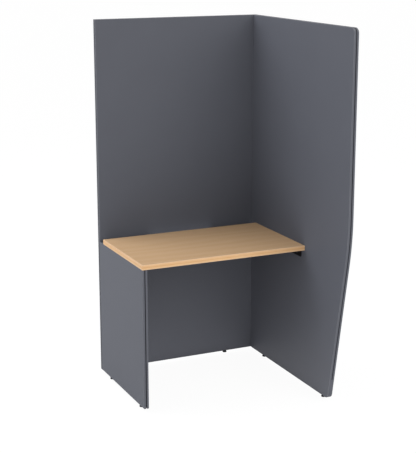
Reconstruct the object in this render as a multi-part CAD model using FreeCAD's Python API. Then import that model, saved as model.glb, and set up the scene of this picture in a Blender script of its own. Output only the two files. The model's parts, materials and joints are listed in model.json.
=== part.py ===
import FreeCAD, Part
import math
import os

# Office booth for one: a tall back panel, a tall side panel on the right, a short leg panel
# on the left and a desktop between them, on screw-in levelling feet.
# Millimetres, +Z up, the open front faces -Y, the floor is z = 0.

# Overall sizes
booth_width = 880.0
booth_depth = 1000.0
booth_height = 1800.0
desk_height = 720.0
desk_reach = 600.0  # front of the desktop and the leg, from the rear of the booth
foot_height = 12.0  # floor to the underside of the panels

# Panels: two boards on a thin dark core that stands back from their edges
skin_thickness = 10.0
core_thickness = 5.0
core_recess = 4.0
skin_arris = 1.2

# Side panel outline
side_foot_reach = 850.0  # front of its lower end, from the rear of the booth
side_bend_height = 824.0  # where the front edge starts to lean back
side_bend_radius = 1300.0
side_corner_radius = 25.0
toe_height = 100.0
toe_depth = 130.0

# Desktop
desktop_thickness = 25.0
cable_gap = 50.0
edge_band = 2.0
edge_arris = 2.0

# Steel angles under the desktop
angle_leg = 40.0
angle_steel = 3.0
angle_bend_radius = 5.0
angle_end_cut = 6.0  # off the outer corners of each leg
angle_setback = 30.0
angle_screw_inset = 40.0
angle_screw_count = 3
angle_screw_offset = 24.0  # screw line from the heel of the angle
rear_angle_bearing = 25.0  # under the rear of the desktop
rear_angle_gap = 15.0  # from the outer end of a rear angle to the panel beside it
rear_angle_screw_count = 2
cable_opening = 340.0  # clear width between the two rear angles

# Wood screws with domed heads
screw_radius = 2.0
screw_length = 15.0
screw_tip = 3.0
screw_head_radius = 4.5
screw_head_height = 2.4
screw_hole_clearance = 0.4

# Connecting bolts, their threaded inserts and the dowels beside them
bolt_radius = 3.0
bolt_head_radius = 8.5
bolt_head_height = 2.0
bolt_socket_flats = 4.0
bolt_socket_depth = 1.2
bolt_reach = 18.0  # into the panel behind the joint
bolt_clearance = 0.25
insert_radius = 5.0
insert_length = 20.0
dowel_radius = 4.0
dowel_length = 40.0
dowel_in_back = 18.0
dowel_in_top = 18.0
dowel_chamfer = 1.0
dowel_spacing = 64.0  # from a bolt to the dowel under it
side_bolt_height_shares = (0.12, 0.5, 0.93)
leg_bolt_height_shares = (0.25, 0.85)
leg_top_dowel_shares = (0.2, 0.8)

# Levelling feet
foot_radius = 11.0
foot_sole_radius = 9.5
foot_sole_height = 1.5
foot_rim_height = 5.5
foot_top_radius = 7.5
foot_pad_height = 8.5
hex_across_flats = 13.0
hex_height = 3.0
stud_radius = 4.0
stud_spare = 5.0  # thread above the insert when the foot is screwed right in
stud_chamfer = 1.0
pivot_radius = 2.5  # end of the stud that turns in the pad
pivot_length = 5.0
foot_insert_radius = 6.5
foot_insert_length = 15.0
foot_travel = 10.0
stud_room = 1.0  # free length above the stud's end
back_foot_inset = 176.0
leg_front_foot_inset = 63.0
leg_rear_foot_inset = 110.0
side_front_foot_inset = 58.0
side_rear_foot_inset = 140.0

# Small round pieces are many-sided: smooth where they show, plainer inside the boards
shown_sides = 16
hidden_sides = 8
hex_sides = 6

# Fits
fit = 0.05  # radial play of a pin, screw or dowel in its hole
seat_play = 0.3  # under the end of a stud in its pad
stud_hole_clearance = 0.5
overrun = 2.0  # length of a hole past the face that it leaves

# Places that follow from the sizes
panel_thickness = 2 * skin_thickness + core_thickness
left = -booth_width / 2
right = booth_width / 2
rear = booth_depth / 2
front = -booth_depth / 2
back_face = rear - panel_thickness
side_face = right - panel_thickness
leg_face = left + panel_thickness
desk_front = rear - desk_reach
desk_rear = back_face - cable_gap
desk_underside = desk_height - desktop_thickness
side_foot_front = rear - side_foot_reach
stud_length = foot_insert_length + foot_travel + stud_spare

X_AXIS = FreeCAD.Vector(1, 0, 0)
Y_AXIS = FreeCAD.Vector(0, 1, 0)
Z_AXIS = FreeCAD.Vector(0, 0, 1)


def point(x, y, z):
    return FreeCAD.Vector(x, y, z)


def box(x0, x1, y0, y1, z0, z1):
    return Part.makeBox(x1 - x0, y1 - y0, z1 - z0, point(x0, y0, z0))


def group(solids):
    return Part.makeCompound(solids)


def drilled(shape, tools):
    return shape.cut(tools) if tools else shape


# Small round pieces and holes
def ring(radius, along, sides):
    """Corners of a regular polygon round the Z axis."""
    corners = []
    for step in range(sides):
        angle = 2 * math.pi * step / sides
        corners.append(point(radius * math.cos(angle), radius * math.sin(angle), along))
    return corners


def placed(solid, base, axis):
    solid.Placement = FreeCAD.Placement(base, FreeCAD.Rotation(Z_AXIS, axis))
    return solid


def turned(profile, base, axis, sides):
    """Body turned from a closed half profile of (radius, distance) corners, set on an axis."""
    rings = [ring(radius, along, sides) for radius, along in profile]
    faces = []
    for lower, upper in zip(rings, rings[1:] + rings[:1]):
        for step in range(sides):
            corners = []
            for corner in (lower[step - 1], lower[step], upper[step], upper[step - 1]):
                if corner not in corners:
                    corners.append(corner)
            if len(corners) > 2:
                faces.append(Part.Face(Part.makePolygon(corners + corners[:1])))
    shell = Part.makeShell(faces)
    shell.sewShape()
    solid = Part.makeSolid(shell)
    if solid.Volume < 0:
        solid.reverse()
    return placed(solid.removeSplitter(), base, axis)


def rod(radius, length, base, axis, sides):
    """Rod whose edges lie at a radius from its axis."""
    return turned([(0, 0), (radius, 0), (radius, length), (0, length)], base, axis, sides)


def hole(radius, length, base, axis, sides):
    """Hole, hexagon or bore whose flats lie at a radius from its axis."""
    return rod(radius / math.cos(math.pi / sides), length, base, axis, sides)


# Boards
def rounded_wire(corners, radii):
    """Closed outline through the corners, each rounded by a tangent arc of its own radius."""
    edges = []
    starts = []
    ends = []
    for index, corner in enumerate(corners):
        before = (corners[index - 1] - corner).normalize()
        after = (corners[(index + 1) % len(corners)] - corner).normalize()
        half_angle = before.getAngle(after) / 2
        reach = radii[index] / math.tan(half_angle)
        starts.append(corner + before * reach)
        ends.append(corner + after * reach)
        if radii[index] > 0:
            inward = (before + after).normalize()
            apex = corner + inward * (radii[index] / math.sin(half_angle) - radii[index])
            edges.append(Part.Arc(starts[-1], apex, ends[-1]).toShape())
    for index in range(len(corners)):
        following = (index + 1) % len(corners)
        edges.append(Part.LineSegment(ends[index], starts[following]).toShape())
    return Part.Wire(Part.__sortEdges__(edges))


def board(outline, direction, thickness):
    return outline.extrude(direction * thickness)


def face_edges(shape, axis, level):
    edges = []
    for edge in shape.Edges:
        if all(abs(v.Point.dot(axis) - level) < fit for v in edge.Vertexes):
            edges.append(edge)
    return edges


def soften_face(shape, axis, level, radius):
    """Round the arris all round the flat face that lies at a level along an axis."""
    return shape.makeFillet(radius, face_edges(shape, axis, level))


def ease_face(shape, axis, level, width):
    """Bevel the arris all round the flat face that lies at a level along an axis."""
    return shape.makeChamfer(width, face_edges(shape, axis, level))


# Where the joints between the panels are
def heights_up(top, shares):
    return [foot_height + share * (top - foot_height) for share in shares]


side_middle = right - panel_thickness / 2
leg_middle = left + panel_thickness / 2
back_middle = rear - panel_thickness / 2
bolt_rows = {
    "side": (side_middle, heights_up(booth_height, side_bolt_height_shares)),
    "leg": (leg_middle, heights_up(desk_underside, leg_bolt_height_shares)),
}

# Where the feet are
foot_places = {
    "back_left": (left + back_foot_inset, back_middle),
    "back_right": (right - back_foot_inset, back_middle),
    "side_front": (side_middle, side_foot_front + side_front_foot_inset),
    "side_rear": (side_middle, back_face - side_rear_foot_inset),
    "leg_front": (leg_middle, desk_front + leg_front_foot_inset),
    "leg_rear": (leg_middle, back_face - leg_rear_foot_inset),
}


# Bolts with flat socket heads, let into the rear board, and the inserts that they bite in
def bolt(x, z):
    start = point(x, rear, z)
    head = rod(bolt_head_radius, bolt_head_height, start, -Y_AXIS, shown_sides)
    shank = rod(bolt_radius, panel_thickness + bolt_reach, start, -Y_AXIS, hidden_sides)
    socket = hole(bolt_socket_flats / 2, bolt_socket_depth, start, -Y_AXIS, hex_sides)
    return head.fuse(shank).cut(socket).removeSplitter()


def bolt_hole(x, z):
    start = point(x, rear, z)
    head = hole(bolt_head_radius + bolt_clearance, bolt_head_height, start, -Y_AXIS, shown_sides)
    shank = hole(bolt_radius + bolt_clearance, panel_thickness, start, -Y_AXIS, hidden_sides)
    return head.fuse(shank)


def threaded_insert(outer_radius, bore_radius, length, base, axis, sides):
    body = rod(outer_radius, length, base, axis, sides)
    return body.cut(hole(bore_radius + fit, length, base, axis, sides))


def bolt_insert(x, z):
    base = point(x, back_face, z)
    return threaded_insert(insert_radius, bolt_radius, insert_length, base, -Y_AXIS, hidden_sides)


def insert_hole(x, z):
    return hole(insert_radius + fit, insert_length + fit, point(x, back_face, z), -Y_AXIS, hidden_sides)


def dowel(base, axis):
    profile = [
        (0, 0),
        (dowel_radius - dowel_chamfer, 0),
        (dowel_radius, dowel_chamfer),
        (dowel_radius, dowel_length - dowel_chamfer),
        (dowel_radius - dowel_chamfer, dowel_length),
        (0, dowel_length),
    ]
    return turned(profile, base, axis, hidden_sides)


def dowel_hole(base, axis):
    return hole(dowel_radius + fit, dowel_length + fit, base, axis, hidden_sides)


def wood_screw(seat, axis):
    """Domed screw: the head stands out of the seat, the shank runs along the axis."""
    shoulder = screw_head_radius - screw_head_height / 2
    profile = [
        (0, -screw_head_height),
        (shoulder, -screw_head_height),
        (screw_head_radius, -screw_head_height / 2),
        (screw_head_radius, 0),
        (screw_radius, 0),
        (screw_radius, screw_length - screw_tip),
        (0, screw_length),
    ]
    return turned(profile, seat, axis, hidden_sides)


def screw_hole(radius, length, seat, axis):
    return hole(radius, length, seat, axis, hidden_sides)


# Levelling feet and the inserts that they screw into
def foot_insert(x, y):
    base = point(x, y, foot_height)
    return threaded_insert(foot_insert_radius, stud_radius, foot_insert_length, base, Z_AXIS, shown_sides)


def foot_hole(x, y):
    base = point(x, y, foot_height)
    deep = foot_pad_height + hex_height + stud_length + stud_room - foot_height
    seat = hole(foot_insert_radius + fit, foot_insert_length + fit, base, Z_AXIS, shown_sides)
    room = hole(stud_radius + stud_hole_clearance, deep, base, Z_AXIS, hidden_sides)
    return seat.fuse(room)


def foot_pad(x, y):
    profile = [
        (0, 0),
        (foot_sole_radius, 0),
        (foot_radius, foot_sole_height),
        (foot_radius, foot_rim_height),
        (foot_top_radius, foot_pad_height),
        (0, foot_pad_height),
    ]
    pad = turned(profile, point(x, y, 0), Z_AXIS, shown_sides)
    seat_depth = pivot_length + seat_play
    seat = point(x, y, foot_pad_height - seat_depth)
    return pad.cut(Part.makeCylinder(pivot_radius + fit, seat_depth, seat))


def foot_stud(x, y):
    """Hexagon with the pivot that turns in the pad below it and the threaded length above it."""
    reach = hex_height + stud_length
    profile = [
        (0, 0),
        (stud_radius, 0),
        (stud_radius, reach - stud_chamfer),
        (stud_radius - stud_chamfer, reach),
        (0, reach),
    ]
    shoulder = point(x, y, foot_pad_height)
    thread = turned(profile, shoulder, Z_AXIS, shown_sides)
    nut = hole(hex_across_flats / 2, hex_height, shoulder, Z_AXIS, hex_sides)
    pivot = Part.makeCylinder(pivot_radius, pivot_length, shoulder, -Z_AXIS)
    return thread.fuse([nut, pivot]).removeSplitter()


# Dowels and holes, panel by panel
back_holes = []
side_holes = []
leg_holes = []
dowels = {}
for name, (middle, heights) in bolt_rows.items():
    own_holes = side_holes if name == "side" else leg_holes
    dowels[name] = []
    for height in heights:
        start = point(middle, back_face + dowel_in_back, height - dowel_spacing)
        dowels[name].append(dowel(start, -Y_AXIS))
        for holes in (back_holes, own_holes):
            holes.append(dowel_hole(start, -Y_AXIS))
        back_holes.append(bolt_hole(middle, height))
        own_holes.append(insert_hole(middle, height))
for name, (x, y) in foot_places.items():
    holes = {"back": back_holes, "side": side_holes, "leg": leg_holes}[name.split("_")[0]]
    holes.append(foot_hole(x, y))

desktop_holes = []
leg_top_dowels = []
for share in leg_top_dowel_shares:
    place = desk_front + share * (desk_rear - desk_front)
    start = point(leg_middle, place, desk_underside + dowel_in_top)
    leg_top_dowels.append(dowel(start, -Z_AXIS))
    for holes in (desktop_holes, leg_holes):
        holes.append(dowel_hole(start, -Z_AXIS))


# Steel angles: one leg on the panel, one under the desktop
def rows_along(run, count):
    spacing = (run - 2 * angle_screw_inset) / (count - 1)
    return [angle_screw_inset + step * spacing for step in range(count)]


def steel_angle(heel, across, reach, along, run):
    """Bent angle with one leg down from its heel and one that reaches across under the desktop."""
    profile = [(0, 0), (reach, 0), (reach, angle_steel), (angle_steel, angle_steel)]
    profile += [(angle_steel, angle_leg), (0, angle_leg)]
    inner_radius = angle_bend_radius - angle_steel
    radii = [angle_bend_radius, 0, 0, inner_radius, 0, 0]
    corners = [heel + across * out - Z_AXIS * drop for out, drop in profile]
    bar = Part.Face(rounded_wire(corners, radii)).extrude(along * run)
    ends = []
    for edge in bar.Edges:
        middle = edge.CenterOfMass - heel
        at_end = min(abs(middle.dot(along)), abs(middle.dot(along) - run)) < fit
        outer_edge = abs(middle.dot(across) - reach) < fit or abs(middle.z + angle_leg) < fit
        if at_end and outer_edge:
            ends.append(edge)
    return bar.makeChamfer(angle_end_cut, ends)


angle_start = desk_front + angle_setback
angle_run = desk_rear - angle_setback - angle_start
rear_run = (side_face - leg_face - cable_opening) / 2 - rear_angle_gap
rear_reach = cable_gap + rear_angle_bearing
rear_offset = cable_gap + rear_angle_bearing / 2
opening_left = -cable_opening / 2
opening_right = cable_opening / 2
side_rows = rows_along(angle_run, angle_screw_count)
rear_rows = rows_along(rear_run, rear_angle_screw_count)
steel_hole_radius = screw_radius + screw_hole_clearance
steel_hole_depth = angle_steel + overrun
angle_places = {
    "right": (point(side_face, angle_start, desk_underside), -X_AXIS, Y_AXIS, side_rows, side_holes),
    "left": (point(leg_face, angle_start, desk_underside), X_AXIS, Y_AXIS, side_rows, leg_holes),
    "rear_right": (point(opening_right, back_face, desk_underside), -Y_AXIS, X_AXIS, rear_rows, back_holes),
    "rear_left": (point(opening_left, back_face, desk_underside), -Y_AXIS, -X_AXIS, rear_rows, back_holes),
}
angles = {}
angle_screws = {}
for name, (heel, across, along, rows, panel_holes) in angle_places.items():
    at_rear = name.startswith("rear")
    reach = rear_reach if at_rear else angle_leg
    offset = rear_offset if at_rear else angle_screw_offset
    run = rear_run if at_rear else angle_run
    steel_holes = []
    wall_screws = []
    top_screws = []
    for place in rows:
        wall = heel + along * place - Z_AXIS * angle_screw_offset
        top = heel + along * place + across * offset
        steel_holes.append(screw_hole(steel_hole_radius, steel_hole_depth, wall, across))
        steel_holes.append(screw_hole(steel_hole_radius, steel_hole_depth, top, -Z_AXIS))
        wall_seat = wall + across * angle_steel
        top_seat = top - Z_AXIS * angle_steel
        wall_screws.append(wood_screw(wall_seat, -across))
        top_screws.append(wood_screw(top_seat, Z_AXIS))
        panel_holes.append(screw_hole(screw_radius + fit, screw_length + fit, wall_seat, -across))
        desktop_holes.append(screw_hole(screw_radius + fit, screw_length + fit, top_seat, Z_AXIS))
    angles[f"{name}_desk_angle"] = steel_angle(heel, across, reach, along, run).cut(steel_holes)
    angle_screws[f"{name}_angle_wall_screws"] = group(wall_screws)
    angle_screws[f"{name}_angle_top_screws"] = group(top_screws)


# Panels
def sandwich(wire, across, outer_level, holes):
    """Outer board, core and inner board of a panel whose outline lies on its outer face."""
    outline = Part.Face(wire)
    depth = across * -1
    outer = board(outline, depth, skin_thickness)
    shifted = outline.translated(depth * (skin_thickness + core_thickness))
    inner = board(shifted, depth, skin_thickness)
    core_face = outline.makeOffset2D(-core_recess).translated(depth * skin_thickness)
    core = board(core_face, depth, core_thickness)
    outer = ease_face(outer, across, outer_level, skin_arris)
    inner = ease_face(inner, across, outer_level - panel_thickness, skin_arris)
    return [drilled(shape, holes) for shape in (outer, core, inner)]


back_corners = [
    point(left, rear, foot_height),
    point(right, rear, foot_height),
    point(right, rear, booth_height),
    point(left, rear, booth_height),
]
back_rear_skin, back_core, back_front_skin = sandwich(
    rounded_wire(back_corners, [0] * len(back_corners)), Y_AXIS, rear, back_holes
)

side_corners = [
    point(right, back_face, foot_height),
    point(right, back_face, booth_height),
    point(right, front, booth_height),
    point(right, front, side_bend_height),
    point(right, side_foot_front, foot_height),
]
side_radii = [0, 0, side_corner_radius, side_bend_radius, side_corner_radius]
side_wire = rounded_wire(side_corners, side_radii)
side_outer_skin, side_core, side_inner_skin = sandwich(side_wire, X_AXIS, right, side_holes)
toe_room = box(
    side_face, right, front, side_foot_front + toe_depth, foot_height, foot_height + toe_height
)
side_core = side_core.cut(toe_room)
toe_face = Part.Face(side_wire).translated(X_AXIS * -skin_thickness)
side_toe_block = drilled(board(toe_face, X_AXIS * -1, core_thickness).common(toe_room), side_holes)

leg_corners = [
    point(leg_face, desk_front, foot_height),
    point(leg_face, back_face, foot_height),
    point(leg_face, back_face, desk_underside),
    point(leg_face, desk_front, desk_underside),
]
leg_inner_skin, leg_core, leg_outer_skin = sandwich(
    rounded_wire(leg_corners, [0] * len(leg_corners)), X_AXIS, leg_face, leg_holes
)

# Desktop: a board with an edge band on each side
slab = box(left, side_face, desk_front, desk_rear, desk_underside, desk_height)
for level in (desk_height, desk_underside):
    slab = soften_face(slab, Z_AXIS, level, edge_arris)
slab = drilled(slab, desktop_holes)
band_front = desk_front + edge_band
band_rear = desk_rear - edge_band
band_left = left + edge_band
band_right = side_face - edge_band
low = desk_underside
desktop = {
    "desktop_front_band": slab.common(box(left, side_face, desk_front, band_front, low, desk_height)),
    "desktop_rear_band": slab.common(box(left, side_face, band_rear, desk_rear, low, desk_height)),
    "desktop_left_band": slab.common(box(left, band_left, band_front, band_rear, low, desk_height)),
    "desktop_right_band": slab.common(box(band_right, side_face, band_front, band_rear, low, desk_height)),
    "desktop_board": slab.common(box(band_left, band_right, band_front, band_rear, low, desk_height)),
}

nodes = {
    "back_front_skin": back_front_skin,
    "back_core": back_core,
    "back_rear_skin": back_rear_skin,
    "side_inner_skin": side_inner_skin,
    "side_core": side_core,
    "side_toe_block": side_toe_block,
    "side_outer_skin": side_outer_skin,
    "leg_outer_skin": leg_outer_skin,
    "leg_core": leg_core,
    "leg_inner_skin": leg_inner_skin,
    "leg_top_dowels": group(leg_top_dowels),
}
nodes.update(angles)
nodes.update(desktop)
nodes.update(angle_screws)
for name, (middle, heights) in bolt_rows.items():
    nodes[f"{name}_bolts"] = group([bolt(middle, height) for height in heights])
    nodes[f"{name}_bolt_inserts"] = group([bolt_insert(middle, height) for height in heights])
    nodes[f"{name}_dowels"] = group(dowels[name])
for panel in ("back", "side", "leg"):
    places = [place for name, place in foot_places.items() if name.startswith(panel)]
    nodes[f"{panel}_foot_inserts"] = group([foot_insert(x, y) for x, y in places])
for name, (x, y) in foot_places.items():
    nodes[f"{name}_foot_pad"] = foot_pad(x, y)
    nodes[f"{name}_foot_stud"] = foot_stud(x, y)

os.makedirs("parts", exist_ok=True)
for name, shape in nodes.items():
    shape.exportStep(f"parts/{name}.step")
    print(name, len(shape.Solids), round(shape.Volume), shape.isValid())
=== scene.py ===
import bmesh
import bpy
import json
import math
from mathutils import Euler, Matrix, Vector


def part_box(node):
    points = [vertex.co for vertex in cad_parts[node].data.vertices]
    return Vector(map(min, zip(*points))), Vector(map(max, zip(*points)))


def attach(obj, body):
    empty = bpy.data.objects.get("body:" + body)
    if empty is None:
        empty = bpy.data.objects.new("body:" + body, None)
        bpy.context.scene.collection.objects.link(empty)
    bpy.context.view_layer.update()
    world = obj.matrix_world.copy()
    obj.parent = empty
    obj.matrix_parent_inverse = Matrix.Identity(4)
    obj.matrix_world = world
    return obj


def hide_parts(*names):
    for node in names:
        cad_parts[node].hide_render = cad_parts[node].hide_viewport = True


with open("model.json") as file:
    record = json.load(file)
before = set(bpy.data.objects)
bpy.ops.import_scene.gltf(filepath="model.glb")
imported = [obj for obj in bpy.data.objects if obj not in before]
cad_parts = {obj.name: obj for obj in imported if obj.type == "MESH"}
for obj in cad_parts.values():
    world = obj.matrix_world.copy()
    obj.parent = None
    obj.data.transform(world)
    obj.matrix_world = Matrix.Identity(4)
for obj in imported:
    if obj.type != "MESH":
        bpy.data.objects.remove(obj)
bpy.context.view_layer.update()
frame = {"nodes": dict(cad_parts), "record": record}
nodes = frame["nodes"]
slotOfNode = {part["node"]: part["material_slot"] for part in frame["record"]["subparts"]}
print("frame loaded:", len(nodes), "nodes")


# shader building blocks


def linear(colour):  # display colour 0..255 to linear
    out = []
    for value in colour:
        share = value / 255
        out.append(share / 12.92 if share <= 0.04045 else ((share + 0.055) / 1.055) ** 2.4)
    return (*out, 1.0)


def addNode(tree, kind, **settings):
    node = tree.nodes.new(kind)
    for key, value in settings.items():
        if key in node.inputs:
            node.inputs[key].default_value = value
        else:
            setattr(node, key, value)
    return node


def startGroup(name, inputs, outputs):
    group = bpy.data.node_groups.new(name, "ShaderNodeTree")
    for label, kind, value in inputs:
        socket = group.interface.new_socket(name=label, in_out="INPUT", socket_type=kind)
        if value is not None:
            socket.default_value = value
    for label, kind in outputs:
        group.interface.new_socket(name=label, in_out="OUTPUT", socket_type=kind)
    source = group.nodes.new("NodeGroupInput")
    sink = group.nodes.new("NodeGroupOutput")
    return group, source.outputs, sink.inputs


def mixColours(tree, factor, first, second):
    mix = addNode(tree, "ShaderNodeMix", data_type="RGBA")
    tree.links.new(factor, mix.inputs["Factor"])
    for socket, value in ((mix.inputs[6], first), (mix.inputs[7], second)):
        if isinstance(value, bpy.types.NodeSocket):
            tree.links.new(value, socket)
        else:
            socket.default_value = value
    return mix.outputs[2]


def mathNode(tree, operation, first, second=None, clamp=False):
    node = addNode(tree, "ShaderNodeMath", operation=operation, use_clamp=clamp)
    for socket, value in zip(node.inputs, (first, second)):
        if isinstance(value, bpy.types.NodeSocket):
            tree.links.new(value, socket)
        elif value is not None:
            socket.default_value = value
    return node.outputs[0]


def noise(tree, vector, scale, detail=4.0, roughness=0.55):
    node = addNode(tree, "ShaderNodeTexNoise", Scale=scale, Detail=detail, Roughness=roughness)
    tree.links.new(vector, node.inputs["Vector"])
    return node.outputs["Fac"]


def stretched(tree, vector, scale):
    node = addNode(tree, "ShaderNodeMapping", Scale=scale)
    tree.links.new(vector, node.inputs["Vector"])
    return node.outputs["Vector"]


def span(tree, value, low, high):
    node = addNode(tree, "ShaderNodeMapRange")
    tree.links.new(value, node.inputs["Value"])
    node.inputs["From Min"].default_value = low
    node.inputs["From Max"].default_value = high
    return node.outputs["Result"]


# mask of the narrow faces that turn a corner: bevels, arrises and rounded ends, on which a painted
# highlight is laid
arrisHighlightMask = dict(flat=0.95, turned=0.75)  # largest part of the normal where it starts and is full


def makeArrisHighlight():
    group, _, out = startGroup("arrisHighlight", [], [("Mask", "NodeSocketFloat")])
    normal = group.nodes.new("ShaderNodeNewGeometry").outputs["Normal"]
    size = addNode(group, "ShaderNodeVectorMath", operation="ABSOLUTE")
    group.links.new(normal, size.inputs[0])
    parts = group.nodes.new("ShaderNodeSeparateXYZ")
    group.links.new(size.outputs[0], parts.inputs[0])
    widest = mathNode(group, "MAXIMUM", parts.outputs[0], parts.outputs[1])
    widest = mathNode(group, "MAXIMUM", widest, parts.outputs[2])
    group.links.new(span(group, widest, arrisHighlightMask["flat"], arrisHighlightMask["turned"]), out["Mask"])
    return group


# fine texture of moulded, coated and pressed faces: soft clouds and small specks
fineMix = dict(
    cloudDetail=3.0, cloudShare=0.6, speckDetail=2.0, speckSpan=(0.3, 0.7), speckShare=0.4, middle=0.5,
)


def makeFineTexture():
    group, given, out = startGroup(
        "fineTexture",
        [
            ("Vector", "NodeSocketVector", None),
            ("Base", "NodeSocketColor", (0.5, 0.5, 0.5, 1)),
            ("Cloud Scale", "NodeSocketFloat", 6.0),
            ("Speck Scale", "NodeSocketFloat", 600.0),
            ("Strength", "NodeSocketFloat", 0.1),
            ("Roughness Low", "NodeSocketFloat", 0.4),
            ("Roughness High", "NodeSocketFloat", 0.6),
        ],
        [("Color", "NodeSocketColor"), ("Roughness", "NodeSocketFloat"), ("Height", "NodeSocketFloat")],
    )
    cloudNode = addNode(group, "ShaderNodeTexNoise", Detail=fineMix["cloudDetail"])
    speckNode = addNode(group, "ShaderNodeTexNoise", Detail=fineMix["speckDetail"])
    for node, label in ((cloudNode, "Cloud Scale"), (speckNode, "Speck Scale")):
        group.links.new(given["Vector"], node.inputs["Vector"])
        group.links.new(given[label], node.inputs["Scale"])
    speck = span(group, speckNode.outputs["Fac"], *fineMix["speckSpan"])
    cloudPart = mathNode(group, "MULTIPLY", cloudNode.outputs["Fac"], fineMix["cloudShare"])
    speckPart = mathNode(group, "MULTIPLY", speck, fineMix["speckShare"])
    both = mathNode(group, "ADD", cloudPart, speckPart)
    centred = mathNode(group, "SUBTRACT", both, fineMix["middle"])
    change = mathNode(group, "MULTIPLY", centred, given["Strength"])
    tone = addNode(group, "ShaderNodeHueSaturation")
    group.links.new(mathNode(group, "ADD", change, 1.0), tone.inputs["Value"])
    group.links.new(given["Base"], tone.inputs["Color"])
    group.links.new(tone.outputs["Color"], out["Color"])
    rough = addNode(group, "ShaderNodeMapRange")
    group.links.new(both, rough.inputs["Value"])
    group.links.new(given["Roughness Low"], rough.inputs["To Min"])
    group.links.new(given["Roughness High"], rough.inputs["To Max"])
    group.links.new(rough.outputs["Result"], out["Roughness"])
    group.links.new(speck, out["Height"])
    return group


# maple figure: broad bands, fine streaks and pores that all run along local X
grainMix = dict(
    warpScale=(1.2, 5.0, 5.0), warpDetail=3.0, warpReach=(0.0, 0.16, 0.16),
    bandStretch=(0.25, 1.0, 1.0), bandScale=4.2, bandDistortion=2.2, bandDetail=3.0, bandShare=0.2,
    streakScale=(2.0, 160.0, 160.0), streakDetail=5.0, streakRoughness=0.6, streakShare=0.55,
    streakHeight=0.5,
    poreScale=(45.0, 1100.0, 1100.0), poreDetail=2.0, poreSpan=(0.4, 0.75), poreShare=0.25,
    figureSpan=(0.25, 0.75), rough=(0.42, 0.54),
)


def makeMapleGrain():
    mix = grainMix
    group, given, out = startGroup(
        "mapleGrain",
        [
            ("Vector", "NodeSocketVector", None),
            ("Pale", "NodeSocketColor", (0.8, 0.6, 0.4, 1)),
            ("Deep", "NodeSocketColor", (0.6, 0.42, 0.25, 1)),
            ("Figure", "NodeSocketFloat", 0.5),
        ],
        [("Color", "NodeSocketColor"), ("Roughness", "NodeSocketFloat"), ("Height", "NodeSocketFloat")],
    )
    vector = given["Vector"]
    warp = noise(group, stretched(group, vector, mix["warpScale"]), 1.0, mix["warpDetail"])
    warped = addNode(group, "ShaderNodeVectorMath", operation="MULTIPLY_ADD")
    group.links.new(warp, warped.inputs[0])
    warped.inputs[1].default_value = mix["warpReach"]
    group.links.new(vector, warped.inputs[2])
    bands = addNode(group, "ShaderNodeTexWave", wave_type="BANDS", bands_direction="Y", wave_profile="SIN")
    group.links.new(stretched(group, warped.outputs[0], mix["bandStretch"]), bands.inputs["Vector"])
    for label in ("Scale", "Distortion", "Detail"):
        bands.inputs[label].default_value = mix[f"band{label}"]
    along = stretched(group, vector, mix["streakScale"])
    streaks = noise(group, along, 1.0, mix["streakDetail"], mix["streakRoughness"])
    dots = noise(group, stretched(group, vector, mix["poreScale"]), 1.0, mix["poreDetail"])
    pores = span(group, dots, *mix["poreSpan"])
    figure = mathNode(group, "MULTIPLY", bands.outputs["Fac"], mix["bandShare"])
    figure = mathNode(group, "ADD", figure, mathNode(group, "MULTIPLY", streaks, mix["streakShare"]))
    figure = mathNode(group, "ADD", figure, mathNode(group, "MULTIPLY", pores, mix["poreShare"]))
    figure = span(group, figure, *mix["figureSpan"])
    shade = mathNode(group, "MULTIPLY", figure, given["Figure"], clamp=True)
    group.links.new(mixColours(group, shade, given["Pale"], given["Deep"]), out["Color"])
    rough = addNode(group, "ShaderNodeMapRange")
    group.links.new(figure, rough.inputs["Value"])
    rough.inputs["To Min"].default_value, rough.inputs["To Max"].default_value = mix["rough"]
    group.links.new(rough.outputs["Result"], out["Roughness"])
    ridges = mathNode(group, "MULTIPLY", streaks, mix["streakHeight"])
    group.links.new(mathNode(group, "ADD", pores, ridges), out["Height"])
    return group


# painted shade: a darker stripe along the middle of an edge band's face, standing in for the shade between
# its lit arrises, broken up along its length
midShadeBreaks = dict(scale=9.0, detail=3.0, span=(0.2, 0.6))


def makeBandMidShade():
    group, given, out = startGroup(
        "bandMidShade",
        [
            ("Vector", "NodeSocketVector", None),
            ("Middle", "NodeSocketFloat", 0.0),
            ("Half Width", "NodeSocketFloat", 0.005),
        ],
        [("Mask", "NodeSocketFloat")],
    )
    parts = group.nodes.new("ShaderNodeSeparateXYZ")
    group.links.new(given["Vector"], parts.inputs[0])
    away = mathNode(group, "ABSOLUTE", mathNode(group, "SUBTRACT", parts.outputs["Z"], given["Middle"]))
    share = mathNode(group, "DIVIDE", away, given["Half Width"])
    near = mathNode(group, "SUBTRACT", 1.0, share, clamp=True)
    patches = noise(group, given["Vector"], midShadeBreaks["scale"], midShadeBreaks["detail"])
    broken = span(group, patches, *midShadeBreaks["span"])
    group.links.new(mathNode(group, "MULTIPLY", near, broken), out["Mask"])
    return group


arrisHighlight = makeArrisHighlight()
bandMidShade = makeBandMidShade()
fineTexture = makeFineTexture()
mapleGrain = makeMapleGrain()
print("shader groups made")


def startMaterial(name):
    material = bpy.data.materials.new(name)
    material.use_nodes = True
    tree = material.node_tree
    shader = tree.nodes["Principled BSDF"]
    place = tree.nodes.new("ShaderNodeTexCoord")
    return material, tree, shader, place.outputs["Object"]


def addGroup(tree, group):
    node = tree.nodes.new("ShaderNodeGroup")
    node.node_tree = group
    return node


plainSpecular = 0.4  # where a look names none


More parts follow.
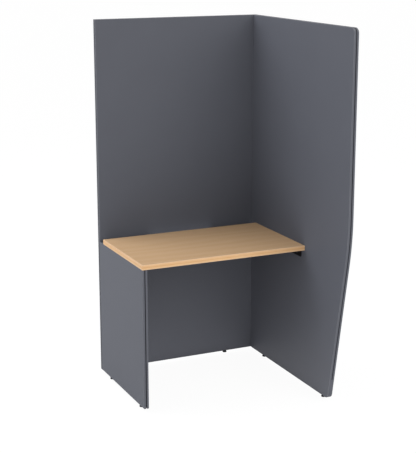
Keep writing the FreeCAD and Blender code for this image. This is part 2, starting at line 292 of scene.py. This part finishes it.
def finishSurface(tree, shader, vector, effect, look):
    colour = effect.outputs["Color"]
    # painted shade: a darker stripe along the middle of the band's face
    if "midShade" in look:
        line = addGroup(tree, bandMidShade)
        tree.links.new(vector, line.inputs["Vector"])
        line.inputs["Middle"].default_value = look["midShadeMiddle"]
        line.inputs["Half Width"].default_value = look["midShadeHalfWidth"]
        colour = mixColours(tree, line.outputs["Mask"], colour, linear(look["midShade"]))
    # painted highlight: the narrow corner faces are lightened towards white, standing in for light caught
    # on the arrises
    if "edgeHighlight" in look:
        edge = addGroup(tree, arrisHighlight)
        highlightShare = mathNode(tree, "MULTIPLY", edge.outputs["Mask"], look["edgeHighlight"])
        colour = mixColours(tree, highlightShare, colour, (1, 1, 1, 1))
    tree.links.new(colour, shader.inputs["Base Color"])
    tree.links.new(effect.outputs["Roughness"], shader.inputs["Roughness"])
    bump = addNode(tree, "ShaderNodeBump", Distance=look["depth"])
    tree.links.new(effect.outputs["Height"], bump.inputs["Height"])
    tree.links.new(bump.outputs["Normal"], shader.inputs["Normal"])
    shader.inputs["Specular IOR Level"].default_value = look.get("specular", plainSpecular)
    return colour


def texturedMaterial(name, look):
    material, tree, shader, vector = startMaterial(name)
    effect = addGroup(tree, fineTexture)
    tree.links.new(vector, effect.inputs["Vector"])
    effect.inputs["Base"].default_value = linear(look["colour"])
    effect.inputs["Cloud Scale"].default_value = look["cloudScale"]
    effect.inputs["Speck Scale"].default_value = look["speckScale"]
    effect.inputs["Strength"].default_value = look["strength"]
    for label, value in zip(("Roughness Low", "Roughness High"), look["rough"]):
        effect.inputs[label].default_value = value
    finishSurface(tree, shader, vector, effect, look)
    shader.inputs["Metallic"].default_value = look.get("metal", 0.0)
    return material


def mapleMaterial(name, look):
    material, tree, shader, vector = startMaterial(name)
    effect = addGroup(tree, mapleGrain)
    turned = addNode(tree, "ShaderNodeMapping")
    turned.inputs["Rotation"].default_value = (0.0, 0.0, math.radians(look["turn"]))
    tree.links.new(vector, turned.inputs["Vector"])
    tree.links.new(turned.outputs["Vector"], effect.inputs["Vector"])
    effect.inputs["Pale"].default_value = linear(look["pale"])
    effect.inputs["Deep"].default_value = linear(look["deep"])
    effect.inputs["Figure"].default_value = look["figure"]
    colour = finishSurface(tree, shader, vector, effect, look)
    # dims the wood for diffuse bounce only, so that it tints the grey boards less
    path = tree.nodes.new("ShaderNodeLightPath")
    dimming = mathNode(tree, "MULTIPLY", path.outputs["Is Diffuse Ray"], 1 - look["bleed"])
    tree.links.new(mixColours(tree, dimming, colour, linear(look["bounce"])), shader.inputs["Base Color"])
    return material


# grey boards, their core, the black and zinc hardware and the dowels
boardLooks = {
    # the grey boards carry a faint painted highlight on their arrises
    "panel_grey": dict(
        colour=(104, 106, 114), cloudScale=5.0, speckScale=900.0, strength=0.12,
        rough=(0.5, 0.62), depth=0.00006, specular=0.15, edgeHighlight=0.08,
    ),
    "core_dark": dict(
        colour=(40, 40, 42), cloudScale=40.0, speckScale=1500.0, strength=0.5,
        rough=(0.75, 0.9), depth=0.0002, specular=0.2,
    ),
    "angle_black": dict(
        colour=(13, 13, 14), cloudScale=20.0, speckScale=1400.0, strength=0.3,
        rough=(0.5, 0.62), depth=0.00008, specular=0.2,
    ),
    "screw_black": dict(
        colour=(66, 66, 69), cloudScale=60.0, speckScale=2500.0, strength=0.3,
        rough=(0.3, 0.42), depth=0.00003, metal=0.8,
    ),
    "bolt_zinc": dict(
        colour=(188, 190, 194), cloudScale=70.0, speckScale=2500.0, strength=0.15,
        rough=(0.25, 0.4), depth=0.00003, metal=1.0,
    ),
    "insert_zinc": dict(
        colour=(182, 182, 178), cloudScale=70.0, speckScale=2500.0, strength=0.2,
        rough=(0.3, 0.45), depth=0.00003, metal=1.0,
    ),
    "dowel_beech": dict(
        colour=(205, 168, 122), cloudScale=60.0, speckScale=1500.0, strength=0.35,
        rough=(0.6, 0.75), depth=0.0001,
    ),
    "foot_black": dict(
        colour=(20, 20, 21), cloudScale=80.0, speckScale=2200.0, strength=0.3,
        rough=(0.5, 0.65), depth=0.00006, specular=0.25,
    ),
    "stud_black": dict(
        colour=(36, 36, 38), cloudScale=80.0, speckScale=2600.0, strength=0.3,
        rough=(0.35, 0.5), depth=0.00004, metal=0.9,
    ),
}
surfaces = {slot: texturedMaterial(slot, look) for slot, look in boardLooks.items()}

# maple desktop and its edge bands; the grain runs along each piece
# the desktop and its bands carry a painted highlight on their arrises
desktopLook = dict(
    pale=(227, 190, 149), deep=(211, 169, 123), figure=0.5, turn=0, depth=0.00008, specular=0.08,
    bleed=0.1, bounce=(62, 40, 20), edgeHighlight=0.35,
)
bandLook = dict(
    pale=(247, 203, 154), deep=(222, 168, 112), figure=0.45, turn=0, depth=0.00006, specular=0.25,
    bleed=0.1, bounce=(62, 40, 20), edgeHighlight=0.4,
    # the band's darker mid stripe is painted shade
    midShade=(234, 181, 124), midShadeMiddle=0.707, midShadeHalfWidth=0.006,
)
surfaces["maple_top"] = mapleMaterial("maple_top", desktopLook)
surfaces["maple_band"] = mapleMaterial("maple_band", bandLook)
sideBand = mapleMaterial("maple_band_ends", dict(bandLook, turn=90))
acrossBands = ("desktop_left_band", "desktop_right_band")

for name, piece in nodes.items():
    piece.data.materials.clear()
    piece.data.materials.append(sideBand if name in acrossBands else surfaces[slotOfNode[name]])
print("surfaces given:", len(bpy.data.materials))


# small hardware, turned and cut smooth in place of the many-sided solids
shapeRules = dict(islandWeld=1e-6, ringWeld=1e-7, sharpAngle=38, easeSteps=(0.0, 0.3, 0.7, 1.0))


def looseBoxes(node):  # lowest and highest corner of each separate solid in a CAD node
    shape = bmesh.new()
    shape.from_mesh(nodes[node].data)
    bmesh.ops.remove_doubles(shape, verts=shape.verts, dist=shapeRules["islandWeld"])
    left = set(shape.verts)
    boxes = []
    while left:
        island = [left.pop()]
        for vertex in island:  # grows while it is walked
            for edge in vertex.link_edges:
                other = edge.other_vert(vertex)
                if other in left:
                    left.remove(other)
                    island.append(other)
        corners = list(zip(*(vertex.co for vertex in island)))
        boxes.append((Vector(map(min, corners)), Vector(map(max, corners))))
    shape.free()
    return sorted(boxes, key=lambda box: tuple(box[0]))  # the same order each run


def easeProfile(profile, width):  # rounds every corner of a profile
    eased = [Vector(profile[0])]
    for before, corner, after in zip(profile, profile[1:], profile[2:]):
        corner = Vector(corner)
        back = Vector(before) - corner
        on = Vector(after) - corner
        start = corner + back.normalized() * min(width, back.length / 2)
        end = corner + on.normalized() * min(width, on.length / 2)
        for share in shapeRules["easeSteps"]:
            eased.append(start.lerp(corner, share).lerp(corner.lerp(end, share), share))
    return eased + [Vector(profile[-1])]


def skinRows(rows, segments):  # rows of (height, radius); a radius may change with the angle
    shape = bmesh.new()
    angles = [math.tau * step / segments for step in range(segments)]
    rings = []
    for height, radius in rows:
        if radius == 0:
            rings.append([shape.verts.new((0, 0, height))])
            continue
        reach = [radius(angle) if callable(radius) else radius for angle in angles]
        ring = [(r * math.cos(angle), r * math.sin(angle), height) for r, angle in zip(reach, angles)]
        rings.append([shape.verts.new(place) for place in ring])
    for lower, upper in zip(rings, rings[1:]):
        for step in range(segments):
            after = (step + 1) % segments
            corners = [lower[step % len(lower)], lower[after % len(lower)]]
            corners += [upper[after % len(upper)], upper[step % len(upper)]]
            shape.faces.new(list(dict.fromkeys(corners)))
    bmesh.ops.remove_doubles(shape, verts=shape.verts, dist=shapeRules["ringWeld"])
    bmesh.ops.recalc_face_normals(shape, faces=shape.faces)
    return shape


def toMesh(shape, name):
    mesh = bpy.data.meshes.new(name)
    shape.to_mesh(mesh)
    shape.free()
    return mesh


def addPiece(mesh, node, body):
    mesh.shade_smooth()
    mesh.set_sharp_from_angle(angle=math.radians(shapeRules["sharpAngle"]))
    mesh.materials.clear()
    mesh.materials.append(surfaces[slotOfNode[node]])
    piece = bpy.data.objects.new(mesh.name, mesh)
    bpy.context.scene.collection.objects.link(piece)
    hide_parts(node)
    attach(piece, body)


def cutOut(mesh, tool):  # takes one closed mesh out of another
    piece = bpy.data.objects.new("cutPiece", mesh)
    cutter = bpy.data.objects.new("cutter", tool)
    for item in (piece, cutter):
        bpy.context.scene.collection.objects.link(item)
    cut = piece.modifiers.new("recess", "BOOLEAN")
    cut.object = cutter
    result = bpy.data.meshes.new_from_object(piece.evaluated_get(bpy.context.evaluated_depsgraph_get()))
    for item in (piece, cutter):
        bpy.data.objects.remove(item)
    for used in (mesh, tool):
        bpy.data.meshes.remove(used)
    return result


def lofted(outline, levels):  # closed form of one outline, scaled at each (height, scale)
    shape = bmesh.new()
    rings = []
    for height, scale in levels:
        rings.append([shape.verts.new((x * scale, y * scale, height)) for x, y in outline])
    for lower, upper in zip(rings, rings[1:]):
        for step in range(len(outline)):
            after = (step + 1) % len(outline)
            shape.faces.new((lower[step], lower[after], upper[after], upper[step]))
    shape.faces.new(reversed(rings[0]))
    shape.faces.new(rings[-1])
    bmesh.ops.recalc_face_normals(shape, faces=shape.faces)
    return toMesh(shape, "tool")


def setIntoPlace(master, node, outward, name, turnEach):  # a copy per solid, its top in the outer face
    shape = bmesh.new()
    outward = Vector(outward)
    for index, (low, high) in enumerate(looseBoxes(node)):
        half = (high - low) / 2
        top = (low + high) / 2 + Vector(a * b for a, b in zip(outward, half))
        aim = outward.to_track_quat("Z", "Y").to_matrix().to_4x4()
        turn = aim @ Matrix.Rotation(index * turnEach, 4, "Z")
        copy = master.copy()
        copy.transform(Matrix.Translation(top) @ turn)
        shape.from_mesh(copy)
        bpy.data.meshes.remove(copy)
    addPiece(toMesh(shape, name), node, "booth")


# levelling feet: moulded pad below, hexagon and rolled thread above
feet = [node.removesuffix("_foot_pad") for node in nodes if node.endswith("_foot_pad")]
padLook = dict(
    segments=48, ease=0.0007, soleRadius=0.0095, soleHeight=0.0015, rimHeight=0.0055, topRadius=0.0075,
    seatRadius=0.00255, seatDepth=0.0053,
)
studLook = dict(
    segments=36, pivotRadius=0.0025, pivotLength=0.005, flats=0.013, hexHeight=0.003, hexEase=0.0007,
    hexLimits=(0.485, 0.53), radius=0.004, threadDepth=0.0006, pitch=0.00125, rowsPerTurn=6,
    flank=2.6, crest=0.15, cutLength=0.0135, endEase=0.001,
)


def makePad(foot):
    node = f"{foot}_foot_pad"
    low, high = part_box(node)
    radius = (high.x - low.x) / 2
    height = high.z - low.z
    look = padLook
    floor = height - look["seatDepth"]
    profile = [(0, 0), (0, look["soleRadius"]), (look["soleHeight"], radius), (look["rimHeight"], radius)]
    profile += [(height, look["topRadius"]), (height, look["seatRadius"])]
    profile += [(floor, look["seatRadius"]), (floor, 0)]
    shape = skinRows(easeProfile(profile, look["ease"]), look["segments"])
    mesh = toMesh(shape, f"{foot}_pad_moulded")
    mesh.transform(Matrix.Translation(((low.x + high.x) / 2, (low.y + high.y) / 2, low.z)))
    addPiece(mesh, node, f"{foot}_pad")


def hexRadius(flats, limit=None):
    def radius(angle):
        flat = flats / 2 / math.cos((angle + math.pi / 6) % (math.pi / 3) - math.pi / 6)
        return min(flat, limit) if limit else flat
    return radius


def threadRadius(look, height):  # right-hand thread
    def reach(angle):
        phase = (height / look["pitch"] - angle / math.tau) % 1
        depth = min(1, max(0, look["flank"] * abs(phase - 0.5) - look["crest"]))
        return look["radius"] - look["threadDepth"] * depth
    return reach


def makeStud(foot):
    node = f"{foot}_foot_stud"
    low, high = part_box(node)
    look = studLook
    radius, flats, ease = look["radius"], look["flats"], look["hexEase"]
    face, slope = (hexRadius(flats, flats * limit) for limit in look["hexLimits"])  # its eased edges
    shoulder = look["pivotLength"]
    hexTop = shoulder + look["hexHeight"]
    top = high.z - low.z
    core = radius - look["threadDepth"]
    rows = [(0, 0), (0, look["pivotRadius"]), (shoulder, look["pivotRadius"])]
    rows += [(shoulder, face), (shoulder + ease / 2, slope), (shoulder + ease, hexRadius(flats))]
    rows += [(hexTop - ease, hexRadius(flats)), (hexTop - ease / 2, slope), (hexTop, face)]
    rows += [(hexTop, core)]
    rise = look["pitch"] / look["rowsPerTurn"]
    for step in range(1, int(look["cutLength"] / rise)):
        height = hexTop + step * rise
        rows.append((height, threadRadius(look, height)))
    rows += [(hexTop + look["cutLength"], radius), (top - look["endEase"], radius)]
    rows += [(top, radius - look["endEase"]), (top, 0)]
    mesh = toMesh(skinRows(rows, look["segments"]), f"{foot}_stud_threaded")
    mesh.transform(Matrix.Translation(((low.x + high.x) / 2, (low.y + high.y) / 2, low.z)))
    addPiece(mesh, node, f"{foot}_stud")


for foot in feet:
    makePad(foot)
    makeStud(foot)
print("feet made:", len(feet))

# steel sleeves that the feet screw into, with a rounded mouth
sleeveLook = dict(segments=48, ease=0.0006, wall=0.00245)


def makeSleeves(node):
    (low, high), look = looseBoxes(node)[0], sleeveLook
    outer = (high.x - low.x) / 2
    inner = outer - look["wall"]
    length = high.z - low.z
    profile = [(-length / 2, inner), (0, inner), (0, outer)]
    profile += [(-length, outer), (-length, inner), (-length / 2, inner)]
    master = toMesh(skinRows(easeProfile(profile, look["ease"]), look["segments"]), "sleeve")
    setIntoPlace(master, node, (0, 0, -1), node.replace("inserts", "sleeves"), 0)
    bpy.data.meshes.remove(master)


for node in ("back_foot_inserts", "side_foot_inserts", "leg_foot_inserts"):
    makeSleeves(node)

# pan-head screws with a cross recess in the steel angles
screwLook = dict(
    segments=40, headRadius=0.0045, headHeight=0.0024, shankRadius=0.002, length=0.015, tip=0.003,
    crownSteps=6, crownShare=0.6, crownFlat=0.25, turnEach=0.7,
    crossReach=0.0026, crossWidth=0.00055, crossDepth=0.0015, crossTaper=0.5, crossMouth=1.6,
    sets=dict(
        right_angle_wall_screws=(-1, 0, 0), left_angle_wall_screws=(1, 0, 0),
        rear_right_angle_wall_screws=(0, -1, 0), rear_left_angle_wall_screws=(0, -1, 0),
        right_angle_top_screws=(0, 0, -1), left_angle_top_screws=(0, 0, -1),
        rear_right_angle_top_screws=(0, 0, -1), rear_left_angle_top_screws=(0, 0, -1),
    ),
)


def makeScrews():
    look = screwLook
    radius, seat = look["headRadius"], -look["headHeight"]
    end = seat - look["length"]
    rows = [(end, 0), (end + look["tip"], look["shankRadius"]), (seat, look["shankRadius"]), (seat, radius)]
    steps, flat = look["crownSteps"], look["crownFlat"]
    for step in range(steps + 1):  # crown of the head
        angle = math.pi / 2 * step / steps
        height = seat * look["crownShare"] * (1 - math.sin(angle))
        rows.append((height, radius * (flat + (1 - flat) * math.cos(angle))))
    rows.append((0, 0))
    head = toMesh(skinRows(rows, look["segments"]), "screw")
    reach, width = look["crossReach"], look["crossWidth"]
    arm = [(width, width), (width, reach), (-width, reach)]
    quarters = ((1, 0), (0, 1), (-1, 0), (0, -1))
    cross = [(x * c - y * s, x * s + y * c) for c, s in quarters for x, y in arm]
    levels = [(-look["crossDepth"], look["crossTaper"]), (0, 1.0), (look["headHeight"], look["crossMouth"])]
    tool = lofted(cross, levels)
    master = cutOut(head, tool)
    for node, outward in look["sets"].items():
        setIntoPlace(master, node, outward, node.replace("screws", "cross_screws"), look["turnEach"])
    bpy.data.meshes.remove(master)


makeScrews()

# flat-headed connecting bolts, let into the rear board, with a hexagon socket
boltLook = dict(
    segments=56, headRadius=0.0085, headHeight=0.002, shankRadius=0.003, ease=0.0005,
    socketFlats=0.004, socketDepth=0.0013, socketMouth=0.0003, turnEach=0.4,
)


def makeBolts():
    look = boltLook
    low, high = looseBoxes("side_bolts")[0]
    length = high.y - low.y
    profile = [(-length, 0), (-length, look["shankRadius"]), (-look["headHeight"], look["shankRadius"])]
    profile += [(-look["headHeight"], look["headRadius"]), (0, look["headRadius"]), (0, 0)]
    head = toMesh(skinRows(easeProfile(profile, look["ease"]), look["segments"]), "bolt")
    corner = look["socketFlats"] / math.sqrt(3)
    angles = [math.pi / 3 * side for side in range(6)]
    outline = [(corner * math.cos(angle), corner * math.sin(angle)) for angle in angles]
    mouth = look["socketMouth"]
    tool = lofted(outline, [(-look["socketDepth"], 1.0), (-mouth, 1.0), (mouth, 1 + 2 * mouth / corner)])
    master = cutOut(head, tool)
    for node in ("side_bolts", "leg_bolts"):
        setIntoPlace(master, node, (0, 1, 0), node.replace("bolts", "socket_bolts"), look["turnEach"])
    bpy.data.meshes.remove(master)


makeBolts()
print("hardware made:", len(screwLook["sets"]), "screw sets and the bolts")


# floor, one foot's travel below the rest pose, so that a foot screwed out isn't hidden in it
# its white makes up for the shaded share of the mix, so that the open floor comes to about 1
floorLook = dict(size=160.0, drop=0.0101, colour=(250, 250, 250), shadowShare=0.11, white=1.06)


def makeFloor():
    half = floorLook["size"] / 2
    mesh = bpy.data.meshes.new("floor")
    corners = [(-half, -half, 0), (half, -half, 0), (half, half, 0), (-half, half, 0)]
    mesh.from_pydata(corners, [], [(0, 1, 2, 3)])
    floor = bpy.data.objects.new("floor", mesh)
    floor.location.z = -floorLook["drop"]
    bpy.context.scene.collection.objects.link(floor)
    material = bpy.data.materials.new("floor_white")
    material.use_nodes = True
    tree = material.node_tree
    tree.nodes.clear()
    diffuse = addNode(tree, "ShaderNodeBsdfDiffuse")
    diffuse.inputs["Color"].default_value = linear(floorLook["colour"])
    white = addNode(tree, "ShaderNodeEmission", Strength=floorLook["white"])
    mix = tree.nodes.new("ShaderNodeMixShader")
    whiteShare = mathNode(tree, "MULTIPLY", seenDirectly(tree), 1 - floorLook["shadowShare"])
    tree.links.new(whiteShare, mix.inputs[0])
    tree.links.new(diffuse.outputs[0], mix.inputs[1])
    tree.links.new(white.outputs[0], mix.inputs[2])
    output = tree.nodes.new("ShaderNodeOutputMaterial")
    tree.links.new(mix.outputs[0], output.inputs["Surface"])
    mesh.materials.append(material)


# an even white room, large soft lamps in front, at the left and behind it, and a bounce card at the floor
lightLook = dict(
    roomStrength=0.488, target=(0.0, 0.0, 0.9), distance=5.0, lampSize=4.0,
    lamps=(
        dict(name="frontLamp", azimuth=20, elevation=28, strength=0.323, tint=(1.0, 1.0, 1.0)),
        dict(name="leftLamp", azimuth=-100, elevation=28, strength=0.147, tint=(0.965, 0.995, 1.04)),
        dict(name="rearLeftLamp", azimuth=-130, elevation=45, strength=0.294, tint=(0.965, 0.995, 1.04)),
    ),
    card=dict(place=(0.0, -0.4, 0.004), size=(0.8, 1.7), strength=0.401),
)


def makeLamp(look):
    azimuth = math.radians(look["azimuth"])  # from the front, towards the right
    elevation = math.radians(look["elevation"])
    flat = math.cos(elevation)
    direction = Vector((flat * math.sin(azimuth), -flat * math.cos(azimuth), math.sin(elevation)))
    data = bpy.data.lights.new(look["name"], "AREA")
    data.shape = "DISK"
    data.size = lightLook["lampSize"]
    data.color = look["tint"]
    data.energy = look["strength"] * (math.pi * lightLook["distance"]) ** 2
    lamp = bpy.data.objects.new(look["name"], data)
    lamp.location = Vector(lightLook["target"]) + direction * lightLook["distance"]
    lamp.rotation_euler = direction.to_track_quat("Z", "Y").to_euler()
    bpy.context.scene.collection.objects.link(lamp)


def makeBounceCard(look):
    data = bpy.data.lights.new("bounceCard", "AREA")
    data.shape = "RECTANGLE"
    data.size, data.size_y = look["size"]
    data.energy = look["strength"] * math.pi * data.size * data.size_y
    card = bpy.data.objects.new("bounceCard", data)
    card.location = look["place"]
    card.rotation_euler = Euler((math.pi, 0, 0))
    card.visible_camera = False
    bpy.context.scene.collection.objects.link(card)


def seenDirectly(tree):
    path = tree.nodes.new("ShaderNodeLightPath")
    seen = mathNode(tree, "MAXIMUM", path.outputs["Is Camera Ray"], path.outputs["Is Glossy Ray"])
    return mathNode(tree, "MAXIMUM", seen, path.outputs["Is Transmission Ray"])


def makeLight():
    world = bpy.data.worlds.new("studio")
    bpy.context.scene.world = world
    world.use_nodes = True
    tree = world.node_tree
    background = tree.nodes["Background"]
    background.inputs["Color"].default_value = (1, 1, 1, 1)
    strength = addNode(tree, "ShaderNodeMapRange")
    strength.inputs["To Min"].default_value = lightLook["roomStrength"]
    tree.links.new(seenDirectly(tree), strength.inputs["Value"])
    tree.links.new(strength.outputs["Result"], background.inputs["Strength"])
    for look in lightLook["lamps"]:
        makeLamp(look)
    makeBounceCard(lightLook["card"])


# camera worked out from the photograph's straight edges
cameraLook = dict(
    place=(-2.36146, -4.96982, 2.19476), yaw=0.433624, pitch=-0.242038, focalPixels=1180.54,
    imageWidth=416, sensor=36.0,
)


def makeCamera():
    data = bpy.data.cameras.new("camera")
    data.sensor_fit = "HORIZONTAL"
    data.sensor_width = cameraLook["sensor"]
    data.lens = cameraLook["focalPixels"] / cameraLook["imageWidth"] * cameraLook["sensor"]
    camera = bpy.data.objects.new("camera", data)
    camera.location = cameraLook["place"]
    camera.rotation_euler = Euler((math.pi / 2 + cameraLook["pitch"], 0, -cameraLook["yaw"]))
    bpy.context.scene.collection.objects.link(camera)
    bpy.context.scene.camera = camera


makeFloor()
makeLight()
makeCamera()
bpy.context.scene.view_settings.view_transform = "Standard"
print("stage set")
